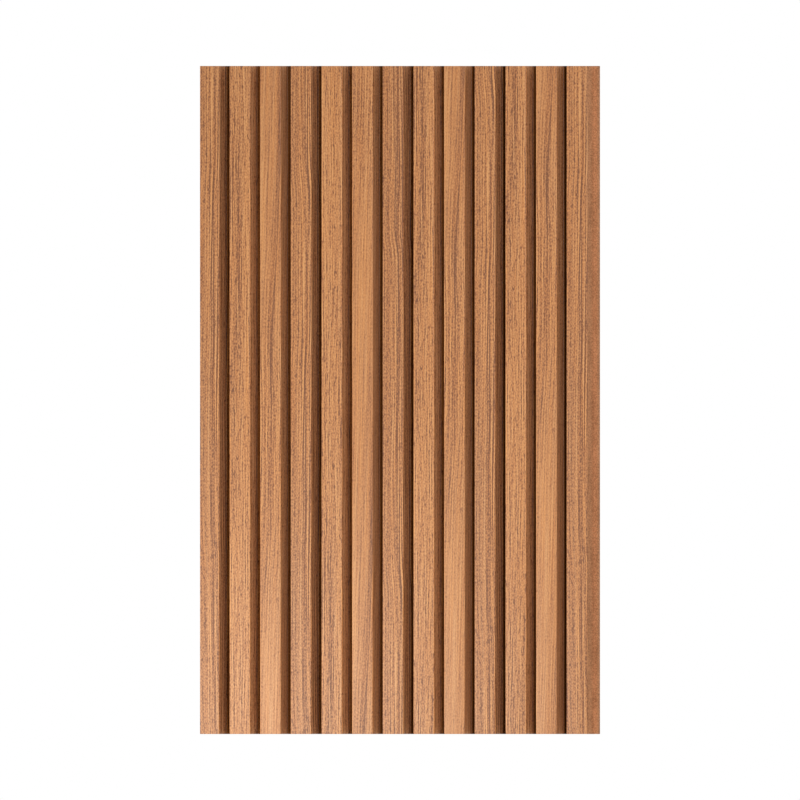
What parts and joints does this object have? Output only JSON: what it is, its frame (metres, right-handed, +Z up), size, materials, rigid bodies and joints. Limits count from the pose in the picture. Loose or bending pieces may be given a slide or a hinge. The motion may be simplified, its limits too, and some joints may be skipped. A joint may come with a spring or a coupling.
{
  "type": "wall panel",
  "caption": "Slatted wall panel laid from interlocking tongued boards, with square upright slats, deep grooves, a wood-grain face and a flat back that is glued to a wall.",
  "frame": {"origin": "on the flat back, on the centre line of the middle slat, half way up", "axes": "+Z up along the slats, +X across them to the right, the slats face -Y and the back faces +Y"},
  "size_m": [0.52, 0.021, 0.78],
  "materials": {
    "grain_board": "satin"
  },
  "bodies": {
    "root": {"ripped_strip": "grain_board", "first_board": "grain_board", "second_board": "grain_board", "third_board": "grain_board", "end_board": "grain_board"}
  },
  "joints": []
}
